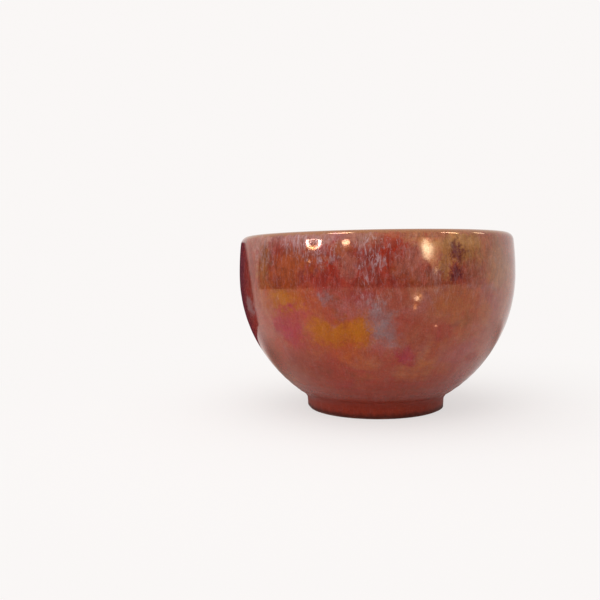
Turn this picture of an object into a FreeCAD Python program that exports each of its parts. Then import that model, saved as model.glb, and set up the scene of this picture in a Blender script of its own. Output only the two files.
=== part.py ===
"""A tea bowl: a thrown red clay bowl on a turned foot ring, with its slip and its lustre glazes.

Every piece is turned about the Z axis. The origin is on the surface that the bowl stands on,
under its centre. Sizes are in millimetres. The clay comes first, and each coat lies on what
is under it, so the coats follow any change of the clay.
"""
import FreeCAD, Part
import math
import os

# Bare clay, outside
widest_radius = 61.8        # where the wall stands upright, above the belly
foot_radius = 30.8          # side of the foot ring
foot_height = 6.45          # from the ground to the corner between foot and belly
belly_height = 54.65        # from that corner up to the widest circle
wall_height = 17.4          # from the widest circle up to the lip
mouth_draw_in = 1.13        # how far the wall leans in again at the lip
foot_fillet = 5.6           # hollow rounding between foot and belly

# Bare clay, inside
wall_thickness = 3.2
floor_thickness = 4.0
lip_outer_share = 0.95      # outer rounding of the lip, as a share of the wall's thickness
floor_turn_share = 0.6      # rounding between wall and floor, as a share of the inside's curve

# Foot ring
foot_ring_width = 5.6       # at the ground, from the side of the foot to the mouth of the well
well_taper = 1.0            # how much narrower the well is at its ceiling
foot_edge = 0.5             # rounding of both edges that meet the ground

# Coats
slip_thickness = 0.2
glaze_thickness = 0.5
bare_slip_band = 0.9        # slip left bare between the glaze and the rounded edge of the foot
lip_band_outside = 1.2      # lip glaze, below the lip's outer rounding
lip_band_inside = 2.5       # lip glaze, below the lip's inner rounding

# Angles in the section, turned from the outward direction towards the lip
outward = 0
upward = math.pi / 2
inward = math.pi
downward = -math.pi / 2
whole_turn_degrees = 360


def upright_arc_radius(run, rise):
    """Radius of an arc that starts upright and has moved over by run after it has risen by rise."""
    return (run ** 2 + rise ** 2) / (2 * run)


def long_side(slant, short_side):
    """The other short side of a right triangle."""
    return math.sqrt(slant ** 2 - short_side ** 2)


# Heights of the clay
widest_level = foot_height + belly_height
clay_lip_level = widest_level + wall_height

# Curves of the outside: belly and wall meet upright on the widest circle
belly_curve = upright_arc_radius(widest_radius - foot_radius, belly_height)
belly_centre = (widest_radius - belly_curve, widest_level)
wall_curve = upright_arc_radius(mouth_draw_in, wall_height)
wall_centre = (widest_radius - wall_curve, widest_level)

# Outer rounding of the lip, inside the wall's curve and level with the lip
lip_outer = lip_outer_share * wall_thickness
lip_outer_rise = wall_height - lip_outer
lip_reach = long_side(wall_curve - lip_outer, lip_outer_rise)
lip_outer_centre = (wall_centre[0] + lip_reach, clay_lip_level - lip_outer)
lip_outer_angle = math.atan2(lip_outer_rise, lip_reach)

# Inner rounding of the lip: it starts where the outer one ends and touches the inner wall
inner_wall_curve = wall_curve - wall_thickness
lip_room = lip_reach ** 2 + wall_height ** 2 - inner_wall_curve ** 2
lip_inner = lip_room / (2 * (inner_wall_curve + wall_height))
lip_inner_centre = (lip_outer_centre[0], clay_lip_level - lip_inner)
lip_inner_angle = math.atan2(wall_height - lip_inner, lip_reach)

# Hollow rounding between foot and belly, which touches both
fillet_run = foot_radius + foot_fillet - belly_centre[0]
fillet_drop = long_side(belly_curve + foot_fillet, fillet_run)
fillet_centre = (foot_radius + foot_fillet, widest_level - fillet_drop)
fillet_angle = math.atan2(-fillet_drop, fillet_run)

# The foot ring is joined to the bowl at the level where that rounding meets the belly
join_radius = belly_centre[0] + belly_curve * math.cos(fillet_angle)
join_level = widest_level + belly_curve * math.sin(fillet_angle)
well_radius = foot_radius - foot_ring_width
well_top_radius = well_radius - well_taper

# Inside: the wall keeps its thickness down to the turn, which runs into the flat floor
inner_belly_curve = belly_curve - wall_thickness
floor_level = join_level + floor_thickness
floor_turn = floor_turn_share * inner_belly_curve
turn_drop = widest_level - floor_level - floor_turn
turn_run = long_side(inner_belly_curve - floor_turn, turn_drop)
turn_centre = (belly_centre[0] + turn_run, floor_level + floor_turn)
turn_angle = -math.atan2(turn_drop, turn_run)

# Where the lip's glaze meets the other two glazes, as angles about the wall's centre
outer_split_rise = wall_curve * math.sin(lip_outer_angle) - lip_band_outside
outer_split = math.asin(outer_split_rise / wall_curve)
inner_split_rise = inner_wall_curve * math.sin(lip_inner_angle) - lip_band_inside
inner_split = math.asin(inner_split_rise / inner_wall_curve)

# Arcs of the clay's section in order: centre, radius, growth of the radius with a coat, angles
outside_arcs = [
    (fillet_centre, foot_fillet, -1, inward, inward + fillet_angle),
    (belly_centre, belly_curve, 1, fillet_angle, outward),
    (wall_centre, wall_curve, 1, outward, outer_split),
]
lip_arcs = [
    (wall_centre, wall_curve, 1, outer_split, lip_outer_angle),
    (lip_outer_centre, lip_outer, 1, lip_outer_angle, upward),
    (lip_inner_centre, lip_inner, 1, upward, inward + lip_inner_angle),
    (wall_centre, inner_wall_curve, -1, lip_inner_angle, inner_split),
]
inside_arcs = [
    (wall_centre, inner_wall_curve, -1, inner_split, outward),
    (belly_centre, inner_belly_curve, -1, outward, turn_angle),
    (turn_centre, floor_turn, -1, turn_angle, downward),
]


def point(radius, level):
    return FreeCAD.Vector(radius, 0, level)


def on_circle(centre, radius, angle):
    return point(centre[0] + radius * math.cos(angle), centre[1] + radius * math.sin(angle))


def line(start, end):
    return Part.LineSegment(start, end).toShape()


def arc(centre, radius, first, last):
    middle = (first + last) / 2
    ends = [on_circle(centre, radius, angle) for angle in (first, middle, last)]
    return Part.Arc(*ends).toShape()


def arcs_at(arcs, skin):
    """The arcs of a section, moved out from the clay by the thickness of the coats on it."""
    return [arc(centre, radius + growth * skin, first, last)
            for centre, radius, growth, first, last in arcs]


def foot_side_at(skin, bottom):
    return line(point(foot_radius + skin, bottom), point(foot_radius + skin, fillet_centre[1]))


def floor_at(skin):
    return line(point(turn_centre[0], floor_level + skin), point(0, floor_level + skin))


def spin(edges):
    """A solid turned about the Z axis from the closed outline that the edges make."""
    outline = Part.Wire(Part.__sortEdges__(edges))
    axis_start = FreeCAD.Vector(0, 0, 0)
    axis = FreeCAD.Vector(0, 0, 1)
    return Part.Face(outline).revolve(axis_start, axis, whole_turn_degrees)


def start_of(edge):
    return edge.valueAt(edge.FirstParameter)


def end_of(edge):
    return edge.valueAt(edge.LastParameter)


def coat(near, far):
    """A coat between two outlines that run side by side, from the clay's side to its own face."""
    first_edge = line(start_of(near[0]), start_of(far[0]))
    last_edge = line(end_of(near[-1]), end_of(far[-1]))
    return spin(near + far + [first_edge, last_edge])


def clay_bowl():
    """The thrown bowl, with a flat seat below for the foot ring."""
    seat = line(point(0, join_level), point(join_radius, join_level))
    shell = arcs_at(outside_arcs[1:] + lip_arcs + inside_arcs, 0)
    middle = line(point(0, floor_level), point(0, join_level))
    return spin([seat] + shell + [floor_at(0), middle])


def foot_ring():
    """The ring that the bowl stands on, hollowed to a well, with both lower edges rounded."""
    fillet_edge = arcs_at(outside_arcs[:1], 0)[0]
    outer_edge = arc((foot_radius - foot_edge, foot_edge), foot_edge, outward, downward)
    inner_edge = arc((well_radius + foot_edge, foot_edge), foot_edge, downward, -inward)
    ground = line(end_of(outer_edge), start_of(inner_edge))
    well_side = line(end_of(inner_edge), point(well_top_radius, join_level))
    seat = line(point(well_top_radius, join_level), point(join_radius, join_level))
    side = foot_side_at(0, foot_edge)
    return spin([fillet_edge, side, outer_edge, ground, inner_edge, well_side, seat])


def slip_coat():
    """Fine red slip, dipped over the bowl inside and out and down the side of the foot."""
    arcs = outside_arcs + lip_arcs + inside_arcs

    def face(skin):
        return [foot_side_at(skin, foot_edge)] + arcs_at(arcs, skin) + [floor_at(skin)]

    return coat(face(0), face(slip_thickness))


def well_slip():
    """The same slip, brushed over the well inside the foot ring."""
    ceiling = join_level - slip_thickness
    corners = [
        point(0, join_level),
        point(well_top_radius, join_level),
        point(well_radius, foot_edge),
        point(well_radius - slip_thickness, foot_edge),
        point(well_top_radius - slip_thickness, ceiling),
        point(0, ceiling),
    ]
    following = corners[1:] + corners[:1]
    return spin([line(start, end) for start, end in zip(corners, following)])


def outer_glaze():
    """Lustre glaze over the outside, from the lip to just above the ground."""
    glaze_end = foot_edge + bare_slip_band

    def face(skin):
        return [foot_side_at(skin, glaze_end)] + arcs_at(outside_arcs, skin)

    return coat(face(slip_thickness), face(slip_thickness + glaze_thickness))


def lip_glaze():
    """The band over the lip, where the glaze runs thin and breaks to a lighter colour."""
    near = arcs_at(lip_arcs, slip_thickness)
    far = arcs_at(lip_arcs, slip_thickness + glaze_thickness)
    return coat(near, far)


def inner_glaze():
    """Dark glaze over the inside, down to the middle of the floor."""

    def face(skin):
        return arcs_at(inside_arcs, skin) + [floor_at(skin)]

    return coat(face(slip_thickness), face(slip_thickness + glaze_thickness))


pieces = [clay_bowl, foot_ring, slip_coat, well_slip, outer_glaze, lip_glaze, inner_glaze]

os.makedirs("parts", exist_ok=True)
for make_piece in pieces:
    make_piece().exportStep(f"parts/{make_piece.__name__}.step")
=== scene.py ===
"""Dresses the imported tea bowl: hand-thrown surfaces, lustre glazes, slip and bare clay.

Lengths are in millimetres until a mesh is made, and azimuth 0 is the side that faces the
camera, growing to its right.
"""

import math

import bpy
from mathutils import Matrix, Vector, noise


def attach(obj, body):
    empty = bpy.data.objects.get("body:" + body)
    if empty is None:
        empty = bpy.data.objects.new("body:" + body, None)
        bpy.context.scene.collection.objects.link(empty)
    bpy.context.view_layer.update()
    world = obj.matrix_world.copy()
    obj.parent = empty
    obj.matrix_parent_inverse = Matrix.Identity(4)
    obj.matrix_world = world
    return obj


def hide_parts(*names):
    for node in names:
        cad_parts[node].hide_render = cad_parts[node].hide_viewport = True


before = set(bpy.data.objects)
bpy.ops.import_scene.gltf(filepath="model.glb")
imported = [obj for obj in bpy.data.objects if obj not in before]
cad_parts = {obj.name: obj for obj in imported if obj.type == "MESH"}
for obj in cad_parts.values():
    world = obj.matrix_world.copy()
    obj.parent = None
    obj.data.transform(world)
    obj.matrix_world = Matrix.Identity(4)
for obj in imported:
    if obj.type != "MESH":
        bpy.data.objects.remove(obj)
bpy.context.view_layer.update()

MM = 0.001

# The clay's driving sizes, the same as the solids have
widest_radius = 61.8
foot_radius = 30.8
foot_height = 6.45
belly_height = 54.65
wall_height = 17.4
mouth_draw_in = 1.13
foot_fillet = 5.6
wall_thickness = 3.2
floor_thickness = 4.0
lip_outer_share = 0.95
floor_turn_share = 0.6
foot_ring_width = 5.6
well_taper = 1.0
foot_edge = 0.5
slip_thickness = 0.2
glaze_thickness = 0.5
bare_slip_band = 0.9
lip_band_outside = 1.2
lip_band_inside = 2.5
finished_skin = slip_thickness + glaze_thickness

# The camera, fitted to the outline of the bowl in the photograph
photo_width = 600
camera_distance = 320.0
camera_height = 66.2
focal_pixels = 685.0
turned_left = math.radians(6.238)
tipped_down = math.radians(2.972)
rolled_right = math.radians(0.802)
sensor_width = 36.0
nearest_seen = 10.0
farthest_seen = 50000.0

# Mesh steps
steps_round = 432
step_along = 0.75
fine_step = 0.35
edge_step = 0.12
seat_step = 2.0
well_side_step = 0.6
well_ceiling_step = 0.5
rings_to_back_ring = 8
on_axis_below = 1e-6
sharp_from = math.radians(40)

outward = 0.0
upward = math.pi / 2
inward = math.pi
downward = -math.pi / 2


def upright_arc_radius(run, rise):
    return (run ** 2 + rise ** 2) / (2 * run)


def long_side(slant, short_side):
    return math.sqrt(slant ** 2 - short_side ** 2)


# The same tangent arcs as the solids
widest_level = foot_height + belly_height
clay_lip_level = widest_level + wall_height
belly_curve = upright_arc_radius(widest_radius - foot_radius, belly_height)
belly_centre = (widest_radius - belly_curve, widest_level)
wall_curve = upright_arc_radius(mouth_draw_in, wall_height)
wall_centre = (widest_radius - wall_curve, widest_level)
lip_outer = lip_outer_share * wall_thickness
lip_outer_rise = wall_height - lip_outer
lip_reach = long_side(wall_curve - lip_outer, lip_outer_rise)
lip_outer_centre = (wall_centre[0] + lip_reach, clay_lip_level - lip_outer)
lip_outer_angle = math.atan2(lip_outer_rise, lip_reach)
inner_wall_curve = wall_curve - wall_thickness
lip_room = lip_reach ** 2 + wall_height ** 2 - inner_wall_curve ** 2
lip_inner = lip_room / (2 * (inner_wall_curve + wall_height))
lip_inner_centre = (lip_outer_centre[0], clay_lip_level - lip_inner)
lip_inner_angle = math.atan2(wall_height - lip_inner, lip_reach)
fillet_run = foot_radius + foot_fillet - belly_centre[0]
fillet_drop = long_side(belly_curve + foot_fillet, fillet_run)
fillet_centre = (foot_radius + foot_fillet, widest_level - fillet_drop)
fillet_angle = math.atan2(-fillet_drop, fillet_run)
join_radius = belly_centre[0] + belly_curve * math.cos(fillet_angle)
join_level = widest_level + belly_curve * math.sin(fillet_angle)
well_radius = foot_radius - foot_ring_width
well_top_radius = well_radius - well_taper
inner_belly_curve = belly_curve - wall_thickness
floor_level = join_level + floor_thickness
floor_turn = floor_turn_share * inner_belly_curve
turn_drop = widest_level - floor_level - floor_turn
turn_run = long_side(inner_belly_curve - floor_turn, turn_drop)
turn_centre = (belly_centre[0] + turn_run, floor_level + floor_turn)
turn_angle = -math.atan2(turn_drop, turn_run)
outer_split_rise = wall_curve * math.sin(lip_outer_angle) - lip_band_outside
outer_split = math.asin(outer_split_rise / wall_curve)
inner_split_rise = inner_wall_curve * math.sin(lip_inner_angle) - lip_band_inside
inner_split = math.asin(inner_split_rise / inner_wall_curve)
glaze_end = foot_edge + bare_slip_band

outside_arcs = [
    (fillet_centre, foot_fillet, -1, inward, inward + fillet_angle),
    (belly_centre, belly_curve, 1, fillet_angle, outward),
    (wall_centre, wall_curve, 1, outward, outer_split),
]
lip_arcs = [
    (wall_centre, wall_curve, 1, outer_split, lip_outer_angle),
    (lip_outer_centre, lip_outer, 1, lip_outer_angle, upward),
    (lip_inner_centre, lip_inner, 1, upward, inward + lip_inner_angle),
    (wall_centre, inner_wall_curve, -1, lip_inner_angle, inner_split),
]
inside_arcs = [
    (wall_centre, inner_wall_curve, -1, inner_split, outward),
    (belly_centre, inner_belly_curve, -1, outward, turn_angle),
    (turn_centre, floor_turn, -1, turn_angle, downward),
]

# Hand-made unevenness. An amount has the levels or radii between which it grows or ends, lumps
# have a depth, a size and a start of their noise, and ridges a depth, a spacing and a start
lip_lean = (0.09, 8.0, 78.0)
oval_share = 0.6
oval_turn = 0.7
three_sided_share = 0.4
three_sided_turn = -1.1
foot_shift = (0.3, 2.0, 16.0)
foot_lean = (0.1, 0.5, 5.0)
still_radius = 1.0
plain_lip_levels = (66.0, 74.0)
coat_loss = 0.07

# Throwing rings, turning lines and soft lumps
ring_drift_share = 0.35
ring_drift_rise = 14.0
ring_strength_share = 0.5
ring_strength_rise = 9.0
ring_strength_reach = 1.3
outer_ridges = (0.018, 6.5, 3.0)
inner_ridges = (0.07, 7.5, 11.0)
inner_ridge_levels = (14.0, 22.0)
turning = (0.035, 15.0, 24.0)
turning_spacing = 2.9
turning_sway = 0.6
outer_lumps = (0.05, 24.0, 5.0)
inner_lumps = (0.05, 15.0, 7.0)

# Inside floor
inner_gain = 0.10
spiral = (0.035, 15.0, 27.0)
spiral_spacing = 5.2
spiral_start_radii = (0.0, 4.0)
spiral_even_share = 0.6
spiral_lumps = (0.4, 11.0, 13.0)
pool = (0.25, 0.0, 9.0)

# Lower edge of the outside glaze
edge_bead = 0.5
bead_foot_share = 0.02
edge_run = 0.75
edge_run_end = 4.2
edge_reach = 40.0
wander_lumps = (0.25, 9.0, 1.0)
nibble_lumps = (0.14, 1.7, 4.0)

# Ground face of the foot
ground_loss = 0.09
ground_levels = (0.3, 1.2)
ground_edge_share = 0.4
ground_edge_levels = (0.02, 0.5)
ground_line_depth = 0.03
ground_line_spacing = 1.3
grit = (0.05, 0.9, 6.0)
ground_lumps = (0.04, 3.5, 8.0)

# Well
well_ridge_depth = 0.03
well_ridge_spacing = 1.4
well_ridge_end = 1.5
well_slip_gain = 0.08
grooves = (0.05, 0.5, 3.0)
groove_spacing = 1.9
button = (0.28, 0.5, 3.2)
well_lumps = (0.03, 6.0, 3.0)


# Outlines

def smooth(low, high, value):
    """0 below low, 1 above high and an even S between."""
    share = min(max((value - low) / (high - low), 0.0), 1.0)
    return share * share * (3 - 2 * share)


def straight(start, end, normal, step):
    """Points of the clay along a line: radius, level and the way that a coat grows."""
    count = max(1, round(math.dist(start, end) / step))
    points = []
    for i in range(count + 1):
        share = i / count
        radius = start[0] + (end[0] - start[0]) * share
        level = start[1] + (end[1] - start[1]) * share
        points.append((radius, level, *normal))
    return points


def round_stretch(centre, radius, growth, first, last, step):
    """The same along an arc."""
    count = max(2, round(abs(last - first) * (radius + finished_skin) / step))
    points = []
    for i in range(count + 1):
        angle = first + (last - first) * i / count
        across = math.cos(angle)
        up = math.sin(angle)
        points.append((centre[0] + radius * across, centre[1] + radius * up, growth * across, growth * up))
    return points


def chain(stretches):
    """Joins stretches end to end without doubling the points that they share."""
    points = list(stretches[0])
    for stretch in stretches[1:]:
        points += stretch[1:]
    return points


def arcs_of(arcs, step):
    return [round_stretch(*one, step) for one in arcs]


foot_side = straight((foot_radius, glaze_end), (foot_radius, fillet_centre[1]), (1, 0), fine_step)
floor_line = straight((turn_centre[0], floor_level), (0, floor_level), (0, 1), step_along)
fillet_line = arcs_of(outside_arcs[:1], fine_step)
outer_path = chain([foot_side] + fillet_line + arcs_of(outside_arcs[1:], step_along))
lip_path = chain(arcs_of(lip_arcs, fine_step))
inner_path = chain(arcs_of(inside_arcs, step_along) + [floor_line])


# Unevenness as functions of the azimuth and the place on the clay

def growing(amount, low, high, value):
    """None of an amount below low, all of it above high."""
    return amount * smooth(low, high, value)


def ending(amount, low, high, value):
    """All of an amount below low, none of it above high."""
    return amount * (1 - smooth(low, high, value))


def lump(azimuth, radius, level, depth, size, start):
    """Smooth noise on both sides of 0."""
    x = radius * math.cos(azimuth)
    y = radius * math.sin(azimuth)
    return depth * noise.noise(Vector((x / size + start, y / size - start, level / size + 2 * start)))


def lean(azimuth, level):
    """How far the wall leans in from a true circle: more at the lip than at the foot."""
    oval = oval_share * math.cos(2 * azimuth + oval_turn)
    three_sided = three_sided_share * math.cos(3 * azimuth + three_sided_turn)
    return (1 + oval + three_sided) * growing(*lip_lean, level)


def foot_drift(azimuth, level):
    """The foot was turned a little off the centre, to the left."""
    return -math.sin(azimuth) * ending(*foot_shift, level)


def foot_taper(level):
    """The side of the foot leans in towards the ground."""
    return ending(*foot_lean, level)


def unmoved(azimuth, radius, level):
    return radius, level


def hand_warp(azimuth, radius, level):
    """Moves both faces of a coat together, so that it keeps its thickness."""
    if radius < still_radius:
        return radius, level
    return radius - lean(azimuth, level) + foot_drift(azimuth, level) - foot_taper(level), level


def edge_warp(azimuth, radius, level):
    """The same for the outside glaze, whose lower edge has run down and wanders above the ground."""
    wander = lump(azimuth, edge_reach, 0, *wander_lumps)
    nibble = lump(azimuth, edge_reach, 0, *nibble_lumps)
    radius, level = hand_warp(azimuth, radius, level)
    return radius, level + ending(wander + nibble - edge_run, glaze_end, edge_run_end, level)


def foot_warp(azimuth, radius, level):
    """Moves the side of the foot with the glaze and leaves the well where it is."""
    share = smooth(well_radius, foot_radius, radius)
    return radius + (foot_drift(azimuth, level) - foot_taper(level)) * share, level


def throwing_rings(azimuth, level, depth, spacing, start):
    """Shallow spiral ridges that the fingers leave, stronger and weaker round the bowl."""
    x = math.cos(azimuth)
    y = math.sin(azimuth)
    drift = ring_drift_share * noise.noise(Vector((x, y, level / ring_drift_rise + start)))
    around = Vector((x, y, 0)) * ring_strength_reach
    up = Vector((0, 0, level / ring_strength_rise - start))
    strength = ring_strength_share * (1 + noise.noise(around + up))
    return depth * strength * math.sin(math.tau * (level / spacing + drift) + azimuth)


def below_lip(level):
    """Keeps the lip itself plain, so that the three glazes meet without a step."""
    return 1 - smooth(*plain_lip_levels, level)


def even(azimuth, radius, level):
    return 0.0


def outer_relief(azimuth, radius, level):
    """Outer face of the outside glaze, against an even coat, with a rounded lower edge."""
    rings = throwing_rings(azimuth, level, *outer_ridges)
    lines = math.sin(math.tau * level / turning_spacing + turning_sway * math.sin(azimuth))
    soft = lump(azimuth, radius, level, *outer_lumps)
    depth = (rings + lines * ending(*turning, level) + soft) * below_lip(level) - coat_loss
    to_bead = 1 - (level - glaze_end) / edge_bead
    if to_bead > 0:
        depth -= (glaze_thickness + depth) * (1 - math.sqrt(max(1 - to_bead ** 2, bead_foot_share)))
    return depth


def lip_relief(azimuth, radius, level):
    return -coat_loss


def inner_relief(azimuth, radius, level):
    """Inner face: throwing rings up the wall, a spiral and a little pool on the floor."""
    rings = throwing_rings(azimuth, level, *inner_ridges) * smooth(*inner_ridge_levels, level)
    soft = lump(azimuth, radius, level, *inner_lumps)
    bottom = 0.0
    if level < widest_level:
        strength = spiral_even_share + lump(azimuth, radius, 0, *spiral_lumps)
        strength *= ending(*spiral, radius) * smooth(*spiral_start_radii, radius)
        turns = math.sin(math.tau * radius / spiral_spacing - azimuth)
        bottom = strength * turns + ending(*pool, radius)
    return (inner_gain + rings + bottom + soft) * below_lip(level) - coat_loss


def foot_ring_relief(azimuth, radius, level):
    """Grit and turning lines on the parts that show, none on the parts that are joined."""
    rough = lump(azimuth, radius, level, *grit) + lump(azimuth, radius, level, *ground_lumps)
    lines = ground_line_depth * math.sin(math.tau * radius / ground_line_spacing)
    shows = 1 - smooth(*ground_levels, level)
    shows *= ground_edge_share + (1 - ground_edge_share) * smooth(*ground_edge_levels, level)
    return -(ground_loss + rough + lines) * shows


def well_relief(azimuth, radius, level):
    """The fine spiral that turning leaves in the well, with a small button in the middle."""
    if level < join_level:
        ridges = math.sin(math.tau * level / well_ridge_spacing + azimuth)
        return well_ridge_depth * (1 + ridges * smooth(foot_edge, well_ridge_end, level))
    turns = math.sin(math.tau * radius / groove_spacing - azimuth) * growing(*grooves, radius)
    return well_slip_gain + turns + ending(*button, radius) + lump(azimuth, radius, 0, *well_lumps)


# Meshes

def ring_points(rows, skin, relief, warp):
    """Rings of points round the Z axis, one ring for each row of an outline."""
    rings = []
    for radius, level, out_radius, out_level in rows:
        ring = []
        for step in range(steps_round):
            azimuth = math.tau * step / steps_round
            depth = skin + relief(azimuth, radius, level)
            reach, height = warp(azimuth, radius + out_radius * depth, level + out_level * depth)
            ring.append((reach * math.sin(azimuth), -reach * math.cos(azimuth), height))
        rings.append(ring)
    return rings


def new_mesh(name, vertices, faces):
    """A mesh from points in millimetres."""
    mesh = bpy.data.meshes.new(name)
    mesh.from_pydata([(x * MM, y * MM, z * MM) for x, y, z in vertices], [], faces)
    return mesh


def new_object(name, data):
    made = bpy.data.objects.new(name, data)
    bpy.context.scene.collection.objects.link(made)
    return made


def closed_skin(name, rings):
    """A mesh from rings in order, the last one joined to the first. A ring of radius 0 is a point."""
    vertices = []
    starts = []
    for ring in rings:
        on_axis = max(abs(x) + abs(y) for x, y, _ in ring) < on_axis_below
        count = 1 if on_axis else steps_round
        starts.append((len(vertices), count))
        vertices += ring[:count]
    faces = []
    for (low, low_count), (high, high_count) in zip(starts, starts[1:] + starts[:1]):
        for step in range(steps_round):
            after = step + 1
            lower = [low + step % low_count, low + after % low_count]
            upper = [high + after % high_count, high + step % high_count]
            corners = list(dict.fromkeys(lower + upper))
            if len(corners) > 2:
                faces.append(corners)
    mesh = new_mesh(name, vertices, faces)
    mesh.validate()
    mesh.update()
    return mesh


def coat_rings(rows, relief, warp):
    """A coat: its face, and its back on the slip with fewer rings."""
    face = ring_points(rows, finished_skin, relief, warp)
    back_rows = rows[::rings_to_back_ring]
    if back_rows[-1] != rows[-1]:
        back_rows = back_rows + [rows[-1]]
    back = ring_points(back_rows, slip_thickness, even, warp)
    ends_on_axis = rows[-1][0] == 0
    return face[::-1] + back if ends_on_axis else back[::-1] + face


def foot_rings():
    """The foot ring, anticlockwise in section from the inner edge of the ground face."""
    inner_centre = (well_radius + foot_edge, foot_edge)
    outer_centre = (foot_radius - foot_edge, foot_edge)
    inner_edge = round_stretch(inner_centre, foot_edge, 1, -inward, downward, edge_step)
    ground = straight((inner_centre[0], 0), (outer_centre[0], 0), (0, -1), fine_step)
    outer_edge = round_stretch(outer_centre, foot_edge, 1, downward, outward, edge_step)
    side = straight((foot_radius, foot_edge), (foot_radius, fillet_centre[1]), (1, 0), step_along)
    fillet = round_stretch(*outside_arcs[0], step_along)
    seat = straight((join_radius, join_level), (well_top_radius, join_level), (0, 1), seat_step)
    well = straight((well_top_radius, join_level), (well_radius, foot_edge), (-1, 0), step_along)
    rows = chain([inner_edge, ground, outer_edge, side, fillet, seat, well])[:-1]
    return ring_points(rows, 0.0, foot_ring_relief, foot_warp)


def well_slip_rings():
    """The slip on the side and the ceiling of the well."""
    side = straight((well_radius, foot_edge), (well_top_radius, join_level), (-1, 0), well_side_step)
    ceiling = straight((well_top_radius, join_level), (0, join_level), (0, -1), well_ceiling_step)
    corner = (well_top_radius, join_level, -1, -1)
    rows = side[:-1] + [corner] + ceiling[1:]
    face = ring_points(rows, slip_thickness, well_relief, unmoved)
    rear = ring_points(rows, 0.0, even, unmoved)
    return rear[::-1] + face


def add_piece(name, rings, node, material):
    mesh = closed_skin(name, rings)
    piece = new_object(name, mesh)
    mesh.materials.append(material)
    mesh.shade_smooth()
    mesh.set_sharp_from_angle(angle=sharp_from)
    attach(piece, "root")
    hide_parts(node)


# Materials

class Graph:
    """Short calls for building a node tree."""

    def __init__(self, tree):
        self.tree = tree

    def node(self, kind, inputs=None, **settings):
        made = self.tree.nodes.new(kind)
        for key, value in settings.items():
            setattr(made, key, value)
        for key, value in (inputs or {}).items():
            self.put(made.inputs[key], value)
        return made

    def put(self, socket, value):
        """Links a socket or sets its value. A colour of three numbers becomes opaque."""
        if isinstance(value, bpy.types.NodeSocket):
            self.tree.links.new(value, socket)
            return
        if isinstance(value, tuple) and len(value) == 3 and len(socket.default_value) == 4:
            value = (*value, 1.0)
        socket.default_value = value

    def math(self, operation, *values):
        return self.node("ShaderNodeMath", dict(enumerate(values)), operation=operation).outputs[0]

    def times(self, first, second):
        return self.math("MULTIPLY", first, second)

    def vector(self, operation, *values):
        return self.node("ShaderNodeVectorMath", dict(enumerate(values)), operation=operation).outputs[0]

    def scaled(self, vector, amount):
        return self.vector("MULTIPLY", vector, (amount, amount, amount))

    def length(self, vector):
        return self.node("ShaderNodeVectorMath", {0: vector}, operation="LENGTH").outputs["Value"]

    def parts(self, vector):
        return self.node("ShaderNodeSeparateXYZ", {0: vector}).outputs

    def joined(self, x, y, z=0.0):
        return self.node("ShaderNodeCombineXYZ", {0: x, 1: y, 2: z}).outputs[0]

    def mix(self, share, first, second, blend="MIX"):
        inputs = {0: share, 6: first, 7: second}
        return self.node("ShaderNodeMix", inputs, data_type="RGBA", blend_type=blend).outputs[2]

    def mix_value(self, share, first, second):
        return self.node("ShaderNodeMix", {0: share, 2: first, 3: second}, data_type="FLOAT").outputs[0]

    def mix_shader(self, share, first, second):
        return self.node("ShaderNodeMixShader", {0: share, 1: first, 2: second}).outputs[0]

    def fade(self, value, low, high, to_low=0.0, to_high=1.0):
        inputs = dict(enumerate((value, low, high, to_low, to_high)))
        return self.node("ShaderNodeMapRange", inputs, interpolation_type="SMOOTHSTEP").outputs[0]

    def tint(self, colour, value, fade, tint):
        """A colour with another over it, where a value says so."""
        return self.mix(self.fade(value, *fade), colour, tint)

    def shade(self, colour, value, fade, share=1.0):
        """A colour made darker and lighter by a value."""
        value = self.fade(value, *fade)
        grey = self.node("ShaderNodeCombineColor", {0: value, 1: value, 2: value}).outputs[0]
        return self.mix(share, colour, grey, "MULTIPLY")

    def noise_node(self, vector, scale, detail, roughness, distortion=0.0):
        inputs = {"Scale": scale, "Detail": detail, "Roughness": roughness, "Distortion": distortion}
        return self.node("ShaderNodeTexNoise", {"Vector": vector, **inputs})

    def noise(self, vector, recipe, start=None):
        """A value that wanders smoothly about 0.5."""
        if start:
            vector = self.vector("ADD", vector, start)
        return self.noise_node(vector, *recipe).outputs["Fac"]

    def drift(self, vector, recipe):
        """A vector that wanders smoothly about 0."""
        return self.vector("SUBTRACT", self.noise_node(vector, *recipe).outputs["Color"], (0.5, 0.5, 0.5))

    def ramp(self, factor, stops):
        made = self.node("ShaderNodeValToRGB", {"Fac": factor})
        elements = made.color_ramp.elements
        while len(elements) < len(stops):
            elements.new(0.5)
        for element, (position, colour) in zip(elements, stops):
            element.position = position
            element.color = (*colour, 1.0)
        return made.outputs["Color"]

    def show(self, shader):
        self.node("ShaderNodeOutputMaterial", {"Surface": shader})


def place(graph):
    """Position on the object in millimetres, its level, its distance from the axis, its heading."""
    where = graph.scaled(graph.node("ShaderNodeTexCoord").outputs["Object"], 1 / MM)
    x, y, level = graph.parts(where)
    flat = graph.joined(x, y)
    return where, level, graph.length(flat), graph.vector("NORMALIZE", flat)


def down_the_wall(graph, heading, level, across, along):
    """Coordinates that draw a noise out down the bowl."""
    x, y, _ = graph.parts(heading)
    return graph.joined(graph.times(x, across), graph.times(y, across), graph.times(level, along))


def arc_at(level):
    """Centre and radius of the belly or the wall."""
    return (belly_centre, belly_curve) if level < widest_level else (wall_centre, wall_curve)


def on_outside(azimuth_degrees, level, centre, radius):
    """The point of the finished outside on one of its arcs, and the way that it faces."""
    azimuth = math.radians(azimuth_degrees)
    rise = math.asin((level - centre[1]) / (radius + finished_skin))
    reach = centre[0] + (radius + finished_skin) * math.cos(rise)
    ahead = Vector((math.sin(azimuth), -math.cos(azimuth), 0))
    point = ahead * reach + Vector((0, 0, level))
    return point, ahead * math.cos(rise) + Vector((0, 0, math.sin(rise)))


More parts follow.
